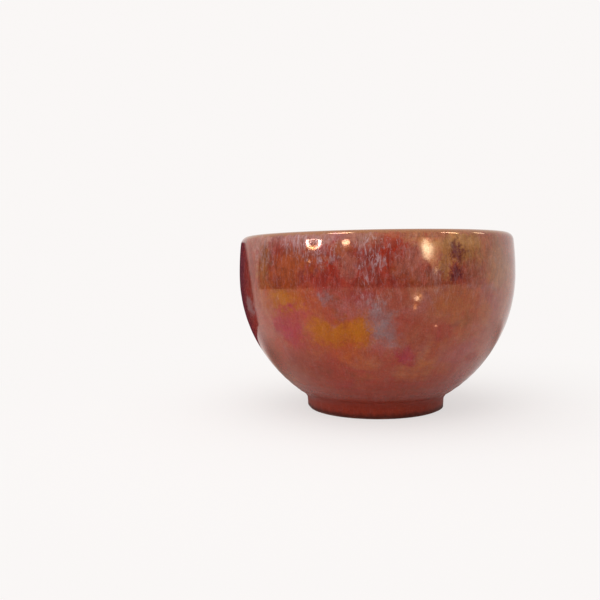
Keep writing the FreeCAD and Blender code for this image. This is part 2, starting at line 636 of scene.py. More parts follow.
# Colours of the thin metallic film, seen in what it reflects
film_rose = (0.92, 0.52, 0.35)
film_pale = (1.0, 0.82, 0.62)
film_tan = (0.62, 0.42, 0.27)
film_amber = (0.74, 0.38, 0.13)
film_gold = (1.0, 0.46, 0.03)
film_orange = (0.8, 0.24, 0.05)
film_magenta = (0.52, 0.05, 0.2)
film_blue = (0.36, 0.6, 0.66)
film_mauve = (0.6, 0.38, 0.38)
film_dusk = (0.44, 0.2, 0.13)
film_olive = (0.52, 0.48, 0.34)
film_thin = (0.24, 0.085, 0.045)
film_foot = (0.16, 0.07, 0.05)
film_ochre = (0.94, 0.62, 0.22)
film_sage = (0.76, 0.54, 0.4)
film_wine = (0.36, 0.13, 0.1)
film_smoke = (0.5, 0.3, 0.24)

# Colours of the glaze under the film
glaze_red = (0.235, 0.036, 0.019)
glaze_ruby = (0.25, 0.03, 0.02)
glaze_rose = (0.31, 0.046, 0.034)
glaze_orange = (0.29, 0.06, 0.02)
glaze_scarlet = (0.29, 0.026, 0.011)
glaze_purple = (0.1, 0.016, 0.02)
glaze_brick = (0.19, 0.027, 0.014)
glaze_ochre = (0.255, 0.09, 0.028)
glaze_pink = (0.32, 0.095, 0.066)
glaze_gold = (0.25, 0.048, 0.008)
# Near-black of the lower edge: partly thin glaze, partly painted contact shade
thin_edge_and_shade = (0.05, 0.012, 0.009)
glaze_haze = (0.34, 0.15, 0.115)
glaze_tan = (0.34, 0.135, 0.05)
glaze_foot = (0.225, 0.025, 0.012)
deposit_silver = (0.265, 0.15, 0.145)
deposit_grey = (0.2, 0.11, 0.1)
deposit_thread = (0.44, 0.29, 0.31)
lip_amber = (0.26, 0.085, 0.03)
film_lip = (0.8, 0.52, 0.26)

# Patches of the film: azimuth, level, half width, half height, strength, colour
film_blooms = [
    (-50, 44, 5.5, 15, 0.8, film_rose),
    (-57, 33, 5.4, 8, 0.7, film_dusk),
    (-56, 65, 9, 10, 0.85, film_dusk),
    (-36, 52.6, 8.2, 5.2, 0.95, film_gold),
    (-26, 53, 7, 4.6, 0.85, film_orange),
    (-13, 55, 9, 4, 0.85, film_smoke),
    (-28.5, 46.4, 6, 3.3, 0.95, film_magenta),
    (-35, 36.4, 5.4, 7.6, 0.95, film_magenta),
    (-35, 29.5, 5.6, 6.5, 0.75, film_dusk),
    (-43, 32, 6, 5, 0.55, film_orange),
    (-35, 22, 12, 6, 0.85, film_thin),
    (-31, 43.5, 4.5, 4, 0.85, film_magenta),
    (-39.5, 43, 4, 5, 0.9, film_magenta),
    (-34, 47.4, 4.6, 2.6, 0.85, film_magenta),
    (-13, 39, 14, 9, 0.85, film_orange),
    (-20, 39.6, 5.2, 5, 0.9, film_gold),
    (-12.8, 38.6, 5, 4.4, 0.75, film_gold),
    (-16.3, 43.1, 2.1, 1.7, 0.7, film_mauve),
    (-5.9, 40.5, 5.4, 6.4, 0.95, film_gold),
    (-11.5, 31, 6.4, 5, 0.85, film_orange),
    (-22.9, 32.3, 4.6, 4, 0.7, film_orange),
    (-18.8, 22.9, 9.5, 5.6, 0.75, film_thin),
    (1.1, 27.8, 8, 6, 0.7, film_dusk),
    (2, 34.4, 5, 3.8, 0.6, film_mauve),
    (12, 33.5, 8, 6, 0.4, film_dusk),
    (2, 55.5, 14, 4.5, 0.35, film_dusk),
    (28, 54.5, 10, 4.5, 0.35, film_dusk),
    (-9, 51, 9, 6, 0.8, film_dusk),
    (-4, 56.4, 5, 4.6, 0.8, film_wine),
    (-4, 52, 5, 4, 0.45, film_magenta),
    (-26, 30, 8, 6, 0.75, film_dusk),
    (-8, 49.5, 5.6, 3.2, 0.7, film_mauve),
    (-16.6, 52.9, 2.4, 3, 0.8, film_blue),
    (1.8, 48, 5.6, 5, 0.95, film_blue),
    (4, 40, 5, 6, 1, film_blue),
    (7.5, 36.5, 3, 3, 0.7, film_blue),
    (7.6, 53.4, 4.2, 6, 0.75, film_dusk),
    (10.5, 43.5, 3.8, 3.8, 0.45, film_magenta),
    (13, 29.8, 3.6, 4.2, 0.95, film_magenta),
    (15.5, 41, 8.5, 8.5, 0.85, film_dusk),
    (31.4, 50.6, 9, 6, 0.85, film_amber),
    (38, 29.2, 9.6, 4.8, 0.75, film_mauve),
    (46.8, 27.1, 4.6, 1.9, 0.8, film_thin),
    (51.3, 31.4, 5.3, 2.8, 0.7, film_rose),
    (54, 39.2, 12, 7, 0.8, film_tan),
    (-48, 18.1, 9, 6, 0.7, film_olive),
    (34, 72, 10, 5.5, 0.8, film_ochre),
    (7.5, 69.5, 5.6, 8, 0.75, film_wine),
    (16.5, 67.5, 3.6, 8.5, 0.85, film_rose),
    (19, 71, 5, 4, 0.9, film_pale),
    (31, 70.3, 3.3, 3, 0.8, film_thin),
    (29.8, 61.2, 2.4, 3.4, 0.9, film_thin),
    (62, 58, 13, 30, 0.85, film_sage),
    (25.5, 66.5, 3, 6, 0.6, film_ochre),
    (15, 18.5, 15, 4, 0.8, film_thin),
    (-32, 75, 18, 3, 0.8, film_mauve),
]

# Patches of colour in the glaze itself
pigment_blooms = [
    (-31.5, 64.9, 10, 7.4, 0.95, glaze_orange),
    (-46.6, 67, 4.2, 9.5, 0.8, glaze_ochre),
    (-18.2, 60.5, 10.5, 3.6, 0.9, glaze_ruby),
    (-10.9, 71, 4.4, 2.4, 0.9, glaze_orange),
    (-9.2, 65.8, 3.6, 4.8, 0.75, glaze_pink),
    (-14.9, 64.7, 1.6, 2.8, 0.9, glaze_scarlet),
    (-0.8, 66.4, 5.5, 9, 0.6, glaze_ruby),
    (8.2, 72, 6.6, 6.4, 0.95, glaze_scarlet),
    (11.1, 63.2, 2.3, 4, 0.8, glaze_brick),
    (5.4, 67.4, 1.9, 3.8, 1, glaze_scarlet),
    (14.8, 66.8, 4.4, 8, 0.85, glaze_pink),
    (9.4, 65.8, 3.2, 4.6, 0.5, glaze_pink),
    (17.5, 61.6, 3.2, 4.6, 0.5, glaze_rose),
    (25.8, 73.5, 5.6, 3.2, 0.8, glaze_ochre),
    (34.2, 70.8, 8.4, 5.6, 0.9, glaze_ochre),
    (25.6, 66.6, 2.8, 6.4, 0.85, glaze_tan),
    (37.7, 61.2, 7.6, 4.2, 0.7, glaze_brick),
    (53.4, 64.8, 9.4, 10, 0.7, glaze_ochre),
    # Painted reflection: dark purple on the left edge, where the glaze mirrors a second bowl
    (-74, 62, 12, 22, 0.7, glaze_purple),
    (-61, 48, 4, 4.2, 0.85, deposit_silver),
    (31, 70.3, 3.3, 3, 0.95, glaze_purple),
    (29.8, 61.2, 2.4, 3.4, 1, glaze_purple),
    (21.6, 60.8, 2.7, 4.4, 0.3, deposit_grey),
    (-17, 77.2, 21, 2.8, 0.75, glaze_haze),
    (-49, 75.6, 6.5, 2.6, 0.65, glaze_haze),
    (25, 76.2, 15, 3.4, 0.85, glaze_tan),
    (-36, 52.6, 8.2, 5.4, 0.95, glaze_gold),
    (-16.5, 39.4, 9, 5, 0.7, glaze_gold),
    (-5.9, 40.5, 5.4, 6.4, 0.8, glaze_gold),
    (-34, 36.4, 5.6, 7.6, 0.9, glaze_ruby),
    (2.5, 48.3, 5.4, 4.6, 0.6, glaze_brick),
    (4, 39.7, 4.3, 5.2, 0.7, glaze_brick),
    (-33, 24, 12, 8, 0.7, glaze_brick),
    (-57, 32, 6, 9, 0.6, glaze_brick),
    (-4, 54.5, 5.5, 5, 0.8, glaze_brick),
    (10, 50, 14, 9, 0.45, glaze_brick),
    (27, 52, 10, 8, 0.45, glaze_brick),
    (14, 35, 8, 6, 0.5, glaze_brick),
    (-57, 64, 6, 8, 0.6, glaze_brick),
]

# Patches where a grey veil with fine silver threads lies in the glaze: azimuth, level, half
# width, half height, strength
veil_blooms = [
    (-0.9, 67.6, 4.5, 8.4, 0.85),
    (-1.8, 73.8, 4.2, 2.4, 0.9),
    (3, 73.8, 3.4, 2.2, 0.7),
    (0.4, 52.6, 4, 3.6, 0.35),
    (-19, 70.4, 9, 3.6, 0.7),
    (-25.5, 75.2, 11, 2.6, 0.75),
    (-46, 70, 6, 5, 0.55),
    (-31, 71, 6, 3, 0.45),
    (21.6, 61, 3, 5, 0.15),
    (9, 69.5, 3, 2.4, 0.5),
]
patch_softness = 0.55
patch_depth_share = 1.6

# Noises of the outside glaze: cells per millimetre, detail, roughness and distortion. A start
# shifts a noise, and a run draws it out down the bowl: its radius, and the share left of a height
coarse_rags = (0.14, 2.0, 0.6)
fine_rags = (0.45, 5.0, 0.75)
film_clouds = (0.040, 3.0, 0.55, 0.6)
warm_clouds = (0.075, 3.0, 0.6, 0.3)
warm_start = (0.0, 25.0, 60.0)
patch_breaks = (0.42, 4.0, 0.7, 0.5)
break_start = (7.0, 21.0, 3.0)
film_cloudlets = (0.24, 4.0, 0.65, 0.3)
glaze_clouds = (0.06, 4.0, 0.62, 0.4)
glaze_start = (40.0, 0.0, 10.0)
mottles = (0.36, 4.0, 0.60, 0.7)
mottle_run = (62.0, 0.60)
curdles = (0.6, 4.0, 0.7, 0.8)
curdle_run = (62.0, 0.5)
broad_threads = (0.30, 2.0, 0.5, 0.9)
narrow_threads = (0.55, 2.0, 0.5, 0.9)
narrow_start = (50.0, 0.0, 50.0)
thread_run = (62.0, 0.26)
dark_threads = (0.45, 2.0, 0.5, 0.8)
dark_run = (60.0, 0.35)
grains = (2.1, 2.0, 0.6)
specks = (1.6, 2.0, 0.5)
ripples = (0.30, 1.0, 0.5)
dimples = (1.3, 2.0, 0.5)

# How far the noises move the edges of patches, and how high they stand, in millimetres
coarse_rag_reach = 9.0
fine_rag_reach = 15.0
edge_rag_reach = 4.0
ripple_height = 0.007
dimple_height = 0.0010
curdle_height = 0.0025

# Fades of the outside glaze: where each begins and ends, and its value before and after. The
# first nine follow levels, the others a noise
low_film_fade = (21.0, 12.0, 0.0, 0.8)
foot_film_fade = (8.5, 6.0)
low_glaze_fade = (24.0, 10.0, 0.0, 0.85)
mottle_level_fade = (50.0, 60.0, 0.24, 1.0)
thread_level_fade = (45.0, 58.0, 0.04, 0.10)
dark_level_fade = (52.0, 60.0, 0.05, 0.26)
edge_fade = (3.3, 0.9, 0.0, 0.85)
lip_fade = (77.2, 78.4, 0.0, 0.9)
matt_foot_fade = (15.0, 6.0, 0.0, 0.38)
warm_fade = (0.48, 0.62, 0.0, 0.75)
break_fade = (0.34, 0.54, 0.62, 1.06)
cloudlet_fade = (0.34, 0.66, 0.76, 1.18)
mottle_fade = (0.30, 0.70, 0.80, 1.20)
bright_mottle_fade = (0.58, 0.72, 0.0, 0.25)
curdle_fade = (0.44, 0.66, 0.08, 0.70)
glaze_grain_fade = (0.3, 0.7, 0.88, 1.12)
film_grain_fade = (0.3, 0.7, 0.80, 1.18)
dark_speck_fade = (0.68, 0.75, 0.0, 0.5)
pale_speck_fade = (0.31, 0.25, 0.0, 0.55)
gloss_fade = (0.3, 0.7, 0.05, 0.10)
thread_width = 0.034
dark_thread_width = 0.05
veil_thread_share = 0.55
lip_film_share = 0.85
film_ior = 2.3

# The film's and the glaze's clouds, from low to high values of their noise
film_stops = [
    (0.29, film_magenta), (0.40, film_dusk), (0.54, film_tan), (0.66, film_mauve), (0.76, film_blue),
]
glaze_stops = [(0.34, glaze_brick), (0.45, glaze_ruby), (0.55, glaze_red), (0.68, glaze_orange)]

# The inside glaze
inside_stops = [(0.34, (0.075, 0.018, 0.022)), (0.5, (0.050, 0.014, 0.022)), (0.64, (0.036, 0.020, 0.036))]
inside_film_stops = [(0.34, (0.60, 0.30, 0.34)), (0.48, (0.52, 0.44, 0.50)), (0.62, (0.46, 0.50, 0.66))]
floor_film_stops = [(0.38, (0.50, 0.34, 0.17)), (0.5, (0.88, 0.62, 0.28)), (0.62, (0.50, 0.50, 0.42))]
floor_tint = (0.10, 0.055, 0.030)
floor_tint_share = 0.5
streak_tint = (0.16, 0.11, 0.16)
inside_clouds = (0.06, 4.0, 0.6, 0.5)
inside_rag_reach = 18.0
floor_clouds = (0.07, 3.0, 0.55)
floor_start = (0.0, 30.0, 5.0)
inside_streaks = (1.1, 4.0, 0.6, 0.4)
inside_run = (56.0, 0.12)
inside_ripples = (0.5, 3.0, 0.5)
inside_streak_height = 0.025
inside_ripple_height = 0.03
floor_level_fade = (40.0, 16.0, 0.0, 0.9)
rim_fade = (76.8, 78.4)
streak_fade = (0.52, 0.72, 0.0, 0.22)
inside_gloss_fade = (0.3, 0.7, 0.05, 0.12)
crest_outside = 0.4
crest_inside = 0.8

# Bare clay and slip: dark, middle and light shade, roughness from low to high, height of the grit
red_clay = ((0.10, 0.030, 0.018), (0.165, 0.052, 0.030), (0.27, 0.105, 0.060))
red_clay_roughness = (0.75, 0.95)
red_clay_grit = 0.06
# The slip is as dark as the band at the foot's lower edge: partly its own colour, partly painted shade
red_slip = ((0.075, 0.016, 0.010), (0.110, 0.023, 0.014), (0.17, 0.042, 0.025))
red_slip_roughness = (0.45, 0.65)
red_slip_grit = 0.02
clay_clouds = (0.12, 4.0, 0.6)
clay_stops = (0.36, 0.5, 0.66)
grog = (2.3, 2.0, 0.5)
light_grog_fade = (0.64, 0.72, 0.0, 0.7)
dark_grog_fade = (0.36, 0.28, 0.0, 0.7)
clay_grains = (3.2, 4.0, 0.65)
clay_grain_ends = (0.3, 0.7)
clay_specular = 0.25


def bloom(graph, ragged, azimuth, level, half_width, half_height):
    """1 in the middle of a patch of the glaze, 0 outside it."""
    middle, _ = on_outside(azimuth, level, *arc_at(level))
    space = graph.node("ShaderNodeMapping", {
        "Vector": ragged,
        "Location": tuple(middle),
        "Rotation": (0.0, 0.0, math.radians(azimuth)),
        "Scale": (half_width, half_width * patch_depth_share, half_height),
    }, vector_type="TEXTURE").outputs[0]
    return graph.fade(graph.length(space), 1 + patch_softness, 1 - patch_softness)


def patched(graph, base, ragged, patches, share=1.0):
    """A colour with the patches of a table over it."""
    for *oval, strength, colour in patches:
        weight = graph.times(bloom(graph, ragged, *oval), share)
        base = graph.mix(graph.times(weight, strength), base, colour)
    return base


def veil_share(graph, ragged):
    veil = 0.0
    for *oval, strength in veil_blooms:
        veil = graph.math("MAXIMUM", veil, graph.times(bloom(graph, ragged, *oval), strength))
    return veil


def thread(graph, vector, recipe, width, start=None):
    """Thin curling lines, where a noise crosses its middle."""
    away = graph.math("ABSOLUTE", graph.math("SUBTRACT", graph.noise(vector, recipe, start), 0.5))
    return graph.fade(away, width, 0.0)


def new_group(name):
    """A node group with the outputs of a lustre glaze."""
    tree = bpy.data.node_groups.new(name, "ShaderNodeTree")
    sockets = {"Colour": "Color", "Film": "Color", "Roughness": "Float", "Height": "Float"}
    for output, kind in sockets.items():
        tree.interface.new_socket(output, in_out="OUTPUT", socket_type=f"NodeSocket{kind}")
    return Graph(tree)


def finished_group(graph, colour, film, roughness, height):
    graph.node("NodeGroupOutput", {"Colour": colour, "Film": film, "Roughness": roughness, "Height": height})
    return graph.tree


def film_colour(graph, where, level, ragged):
    """The film: broad clouds, patches with broken edges, and thin on the foot."""
    film = graph.ramp(graph.noise(where, film_clouds), film_stops)
    warm = graph.noise(where, warm_clouds, warm_start)
    film = graph.tint(film, warm, warm_fade, film_amber)
    broken = graph.fade(graph.noise(where, patch_breaks, break_start), *break_fade)
    film = patched(graph, film, ragged, film_blooms, broken)
    film = graph.tint(film, graph.parts(ragged)[2], low_film_fade, film_thin)
    film = graph.tint(film, level, foot_film_fade, film_foot)
    return graph.shade(film, graph.noise(where, film_cloudlets), cloudlet_fade)


def glaze_colour(graph, where, level, ragged, mottle):
    """The glaze: clouds and patches, with mottling that runs down the bowl."""
    colour = graph.ramp(graph.noise(where, glaze_clouds, glaze_start), glaze_stops)
    colour = patched(graph, colour, ragged, pigment_blooms)
    colour = graph.tint(colour, graph.parts(ragged)[2], low_glaze_fade, glaze_foot)
    wall = graph.fade(level, *mottle_level_fade)
    colour = graph.shade(colour, mottle, mottle_fade, wall)
    return graph.mix(graph.times(wall, graph.fade(mottle, *bright_mottle_fade)), colour, glaze_orange)


def threaded(graph, colour, level, heading, veil, curdle):
    """Silver curdles and threads where the veil lies, a few threads and dark lines elsewhere."""
    colour = graph.mix(graph.times(veil, graph.fade(curdle, *curdle_fade)), colour, deposit_silver)
    runs = down_the_wall(graph, heading, level, *thread_run)
    strength = graph.math("MULTIPLY_ADD", veil, veil_thread_share, graph.fade(level, *thread_level_fade))
    for recipe, start in ((broad_threads, None), (narrow_threads, narrow_start)):
        lines = thread(graph, runs, recipe, thread_width, start)
        colour = graph.mix(graph.times(lines, strength), colour, deposit_thread)
    dark_runs = down_the_wall(graph, heading, level, *dark_run)
    lines = thread(graph, dark_runs, dark_threads, dark_thread_width)
    return graph.mix(graph.times(lines, graph.fade(level, *dark_level_fade)), colour, glaze_purple)


def outside_lustre():
    """Node group of the outside glaze: colour, film colour, roughness and height."""
    graph = new_group("outside_lustre")
    where, level, _, heading = place(graph)
    fine = graph.drift(where, fine_rags)
    coarse = graph.scaled(graph.drift(where, coarse_rags), coarse_rag_reach)
    ragged = graph.vector("ADD", where, graph.vector("ADD", coarse, graph.scaled(fine, fine_rag_reach)))
    edge_level = graph.parts(graph.vector("ADD", where, graph.scaled(fine, edge_rag_reach)))[2]
    mottle = graph.noise(down_the_wall(graph, heading, level, *mottle_run), mottles)
    curdle = graph.noise(down_the_wall(graph, heading, level, *curdle_run), curdles)
    veil = veil_share(graph, ragged)

    # Lower edge, where the glaze thins out over the slip and painted shade darkens it, and lip
    film = film_colour(graph, where, level, ragged)
    colour = glaze_colour(graph, where, level, ragged, mottle)
    colour = threaded(graph, colour, level, heading, veil, curdle)
    # Near-black towards the lower edge: partly the thin glaze over the slip, partly painted contact shade
    colour = graph.tint(colour, edge_level, edge_fade, thin_edge_and_shade)
    lip_share = graph.fade(edge_level, *lip_fade)
    colour = graph.mix(lip_share, colour, lip_amber)
    film = graph.mix(graph.times(lip_share, lip_film_share), film, film_lip)

    # Fine grain and specks
    grain = graph.noise(where, grains)
    colour = graph.shade(colour, grain, glaze_grain_fade)
    film = graph.shade(film, grain, film_grain_fade)
    speck = graph.noise(where, specks)
    colour = graph.tint(colour, speck, dark_speck_fade, glaze_purple)
    colour = graph.tint(colour, speck, pale_speck_fade, glaze_haze)

    matt_foot = graph.fade(graph.parts(ragged)[2], *matt_foot_fade)
    roughness = graph.math("ADD", graph.fade(mottle, *gloss_fade), matt_foot)
    ripple = graph.times(graph.noise(where, ripples), ripple_height)
    dimple = graph.times(graph.noise(where, dimples), dimple_height)
    curdled = graph.times(graph.times(curdle, veil), curdle_height)
    height = graph.math("ADD", graph.math("ADD", ripple, dimple), curdled)
    return finished_group(graph, colour, film, roughness, height)


def inside_lustre():
    """Node group of the dark inside glaze, golden on the floor and streaked down the wall."""
    graph = new_group("inside_lustre")
    where, level, _, heading = place(graph)
    cloud = graph.noise(where, inside_clouds)
    ragged = graph.vector("ADD", where, graph.scaled(graph.drift(where, inside_clouds), inside_rag_reach))
    low_share = graph.fade(graph.parts(ragged)[2], *floor_level_fade)
    floor_film = graph.ramp(graph.noise(where, floor_clouds, floor_start), floor_film_stops)
    film = graph.mix(low_share, graph.ramp(cloud, inside_film_stops), floor_film)
    colour = graph.mix(graph.times(low_share, floor_tint_share), graph.ramp(cloud, inside_stops), floor_tint)
    streak = graph.noise(down_the_wall(graph, heading, level, *inside_run), inside_streaks)
    colour = graph.tint(colour, streak, streak_fade, streak_tint)
    rim_share = graph.fade(level, *rim_fade)
    colour = graph.mix(rim_share, colour, lip_amber)
    film = graph.mix(rim_share, film, film_lip)
    roughness = graph.fade(streak, *inside_gloss_fade)
    ripple = graph.times(graph.noise(where, inside_ripples), inside_ripple_height)
    height = graph.math("ADD", graph.times(streak, inside_streak_height), ripple)
    return finished_group(graph, colour, film, roughness, height)


def blank_material(name):
    material = bpy.data.materials.new(name)
    material.use_nodes = True
    material.node_tree.nodes.clear()
    return material, Graph(material.node_tree)


def surface_material(name):
    material, graph = blank_material(name)
    shader = graph.node("ShaderNodeBsdfPrincipled")
    graph.show(shader.outputs[0])
    return material, graph, shader


def bump(graph, shader, height):
    """Fine relief, with heights in millimetres."""
    made = graph.node("ShaderNodeBump", {"Height": height, "Distance": MM, "Strength": 1.0})
    graph.put(shader.inputs["Normal"], made.outputs[0])


def put_lustre(graph, shader, colour, film, roughness, height):
    graph.put(shader.inputs["Base Color"], colour)
    graph.put(shader.inputs["Specular Tint"], film)
    graph.put(shader.inputs["Roughness"], roughness)
    shader.inputs["IOR"].default_value = film_ior
    bump(graph, shader, height)


def lustre_material(name, group):
    material, graph, shader = surface_material(name)
    put_lustre(graph, shader, *graph.node("ShaderNodeGroup", node_tree=group).outputs)
    return material


def lip_material(outside, inside):
    """Crosses over from the outside glaze to the inside one over the top of the lip."""
    material, graph, shader = surface_material("lip_lustre")
    _, _, reach, _ = place(graph)
    outer = graph.node("ShaderNodeGroup", node_tree=outside).outputs
    inner = graph.node("ShaderNodeGroup", node_tree=inside).outputs
    share = graph.fade(reach, lip_outer_centre[0] + crest_outside, lip_outer_centre[0] - crest_inside)
    colour = graph.mix(share, outer["Colour"], inner["Colour"])
    film = graph.mix(share, outer["Film"], inner["Film"])
    put_lustre(graph, shader, colour, film, outer["Roughness"], outer["Height"])
    return material


def clay_material(name, shades, roughness, grit):
    """Bare clay or slip: soft clouds, specks of grog and a gritty surface."""
    dark, _, light = shades
    material, graph, shader = surface_material(name)
    where, _, _, _ = place(graph)
    colour = graph.ramp(graph.noise(where, clay_clouds), list(zip(clay_stops, shades)))
    speck = graph.noise(where, grog)
    colour = graph.tint(colour, speck, light_grog_fade, light)
    colour = graph.tint(colour, speck, dark_grog_fade, dark)
    grain = graph.noise(where, clay_grains)
    graph.put(shader.inputs["Base Color"], colour)
    graph.put(shader.inputs["Roughness"], graph.fade(grain, *clay_grain_ends, *roughness))
    shader.inputs["Specular IOR Level"].default_value = clay_specular
    bump(graph, shader, graph.times(grain, grit))
    return material


def build_object():
    outside = outside_lustre()
    inside = inside_lustre()
    outer = lustre_material("outer_lustre", outside)
    inner = lustre_material("inner_lustre", inside)
    lip = lip_material(outside, inside)
    clay = clay_material("red_clay", red_clay, red_clay_roughness, red_clay_grit)
    slip = clay_material("red_slip", red_slip, red_slip_roughness, red_slip_grit)

    outer_rings = coat_rings(outer_path, outer_relief, edge_warp)
    lip_rings = coat_rings(lip_path, lip_relief, hand_warp)
    inner_rings = coat_rings(inner_path, inner_relief, hand_warp)
    add_piece("outer_glaze_thrown", outer_rings, "outer_glaze", outer)
    add_piece("lip_glaze_thrown", lip_rings, "lip_glaze", lip)
    add_piece("inner_glaze_thrown", inner_rings, "inner_glaze", inner)
    add_piece("well_slip_brushed", well_slip_rings(), "well_slip", slip)
    add_piece("foot_ring_turned", foot_rings(), "foot_ring", clay)
    for node, material in (("clay_bowl", clay), ("slip_coat", slip)):
        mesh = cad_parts[node].data
        mesh.materials.clear()
        mesh.materials.append(material)


# Floor of the stage. Its fades follow the distance from the axis
background = (0.955, 0.930, 0.920)
floor_colour = (0.93, 0.91, 0.90)
floor_radius = 6000.0
floor_opening = 29.0
floor_sides = 96
floor_fade = (40.0, 220.0, 0.66, 1.0)
mirrored_floor_fade = (40.0, 260.0, 0.15, 1.0)

# Dark room in front, by azimuths in degrees
room_near = 418.0
room_first = -128.0
room_turn = 250.0
room_sides = 96
room_growth = 120.0
room_growth_turn = 100.0
room_step = 52.0
room_step_azimuths = (42.0, 54.0)
room_top = 165.0
room_top_share = 0.78
room_dark = (0.05, 0.035, 0.03)
room_warm = (0.38, 0.27, 0.18)
room_warm_azimuths = (12.0, 75.0)
room_left_azimuths = (-106.0, -102.0)
room_right_azimuths = (104.0, 60.0)

# Card on the left that glows like a second bowl
neighbour_ends = [(-158.0, 26.0), (-75.0, 145.0)]
neighbour_middle = (-116.5, 85.5)
neighbour_half_width = 72.5
neighbour_shoulder = 40.0
neighbour_dome = 52.0
neighbour_belly = 58.0
neighbour_top = 95.0
neighbour_glow = (0.06, 0.015, 0.035)
neighbour_edge_shares = (1.03, 0.86)

# Dark discs of painted floor shadow, seen only in the glaze: place, radius, colour
floor_shadow_discs = [((-64.0, 20.0), 60.0, (0.30, 0.25, 0.22)), ((106.0, 80.0), 78.0, (0.44, 0.39, 0.36))]
floor_shadow_level = 1.0

# Small lamps: azimuth and level where the glaze shows each, distance, half width, half height,
# strength, colour
far_lamp = 360.0
near_lamp = 110.0
low_lamp = 55.0
glow_distance_share = 1.05
far_glow = glow_distance_share * far_lamp
near_glow = glow_distance_share * near_lamp
ring_hole_share = 0.74
glow_core_share = 0.1
lamp_sides = 48
lip_start = 76.0
small_lamps = [
    ("ring_lamp", -22.1, 74.8, far_lamp, 45, 17.5, 36.0, (1.0, 0.97, 0.95)),
    ("warm_lamp", 18.5, 71.7, far_lamp, 45, 32, 7.8, (1.0, 0.90, 0.70)),
    ("warm_glow", 17.8, 70.2, far_glow, 128, 60, 2.1, (1.0, 0.74, 0.44)),
    ("small_lamp", -9.9, 74.5, far_lamp, 21, 7, 20.0, (1.0, 0.92, 0.84)),
    ("lip_lamp_left", -12.3, 77.9, far_lamp, 31, 46, 21.0, (1.0, 0.94, 0.88)),
    ("lip_lamp_right", 27.9, 77.5, far_lamp, 14, 46, 22.0, (1.0, 0.94, 0.80)),
    ("lip_lamp_end", 41.7, 77.5, far_lamp, 18, 36, 7.0, (1.0, 0.92, 0.80)),
    ("dot_left", -23.7, 68.2, far_lamp, 5, 7, 9.0, (1.0, 0.85, 0.70)),
    ("dot_wall", 21.6, 63.4, far_lamp, 9, 3, 5.0, (1.0, 0.85, 0.75)),
    ("sparkle_lamp", 14.8, 52.9, near_lamp, 4.2, 5.4, 9.5, (0.92, 0.96, 0.78)),
    ("sparkle_glow", 14.9, 53.6, near_glow, 18, 24, 2.4, (1.0, 0.92, 0.64)),
    ("sparkle_low", 14.2, 50.0, near_lamp, 3, 4, 5.0, (1.0, 0.78, 0.46)),
    ("sparkle_high", 16.0, 54.2, near_lamp, 2.5, 4, 4.0, (1.0, 0.78, 0.46)),
    ("dot_right", 22.8, 42.4, low_lamp, 1.2, 1.2, 8.0, (1.0, 0.88, 0.74)),
]
lamps_with_a_hole = ("ring_lamp",)
fading_lamps = ("warm_lamp", "warm_glow", "sparkle_glow")

# Broad lamps, which don't show in the glaze: place, diameter, watts
broad_lamps = [
    ("soft_top", (-120.0, -200.0, 900.0), 1100.0, 4.2),
    ("soft_front", (-600.0, -800.0, 450.0), 700.0, 3.0),
]
aim = (0.0, 0.0, 40.0)
world_colour = (1.0, 0.98, 0.97)
world_strength = 0.60


def stage_object(name, mesh, material):
    made = new_object(name, mesh)
    mesh.materials.append(material)
    return made


def add_in_glaze(name, mesh, material):
    """Something of the stage that shows only in what the glaze mirrors."""
    made = stage_object(name, mesh, material)
    made.visible_camera = False
    made.visible_diffuse = False
    made.visible_shadow = False
    made.visible_transmission = False
    made.visible_volume_scatter = False


def circle(count):
    """Cosines and sines of even turns, once round."""
    turns = [math.tau * i / count for i in range(count)]
    return [(math.cos(turn), math.sin(turn)) for turn in turns]


def flat_ring(name, outer, inner):
    """A mesh between two rings with as many points."""
    count = len(outer)
    faces = []
    for i in range(count):
        after = (i + 1) % count
        faces.append((i, after, count + after, count + i))
    return new_mesh(name, outer + inner, faces)


def emission(graph, colour, strength):
    return graph.node("ShaderNodeEmission", {"Color": colour, "Strength": strength}).outputs[0]


def show_glow(graph, colour, strength, cover):
    """Light where cover is 1 and nothing where it is 0."""
    clear = graph.node("ShaderNodeBsdfTransparent").outputs[0]
    graph.show(graph.mix_shader(cover, clear, emission(graph, colour, strength)))


def seen_directly(graph):
    """1 for what the camera, a mirror or a glass sees, 0 for light that falls on something."""
    rays = graph.node("ShaderNodeLightPath").outputs
    seen = graph.math("MAXIMUM", rays["Is Camera Ray"], rays["Is Glossy Ray"])
    return graph.math("MAXIMUM", seen, rays["Is Transmission Ray"])


def floor_material():
    """Pale with a soft shadow near the bowl, the background's colour far away, clear from below."""
    material, graph = blank_material("pale_floor")
    _, _, reach, _ = place(graph)
    rays = graph.node("ShaderNodeLightPath").outputs
    far = graph.fade(reach, *floor_fade)
    far = graph.mix_value(rays["Is Glossy Ray"], far, graph.fade(reach, *mirrored_floor_fade))
    plain = graph.node("ShaderNodeBsdfDiffuse", {"Color": floor_colour}).outputs[0]
    both = graph.mix_shader(graph.times(far, seen_directly(graph)), plain, emission(graph, background, 1.0))
    back = graph.node("ShaderNodeNewGeometry").outputs["Backfacing"]
    clear = graph.node("ShaderNodeBsdfTransparent").outputs[0]
    graph.show(graph.mix_shader(graph.times(back, rays["Is Camera Ray"]), both, clear))
    return material


def add_floor():
    """The floor, with an opening under the foot."""
    outer, inner = [
        [(radius * x, radius * y, 0.0) for x, y in circle(floor_sides)]
        for radius in (floor_radius, floor_opening)
    ]
    stage_object("pale_floor", flat_ring("pale_floor", outer, inner), floor_material())


def add_card(name, outline, top, tone):
    """An upright card over a line on the floor, seen only in the glaze."""
    vertices = []
    for x, y in outline:
        vertices += [(x, y, 0.0), (x, y, top)]
    faces = [(2 * i, 2 * i + 2, 2 * i + 3, 2 * i + 1) for i in range(len(outline) - 1)]
    material, graph = blank_material(name)
    colour, cover = tone(graph)
    show_glow(graph, colour, 1.0, cover)
    add_in_glaze(name, new_mesh(name, vertices, faces), material)


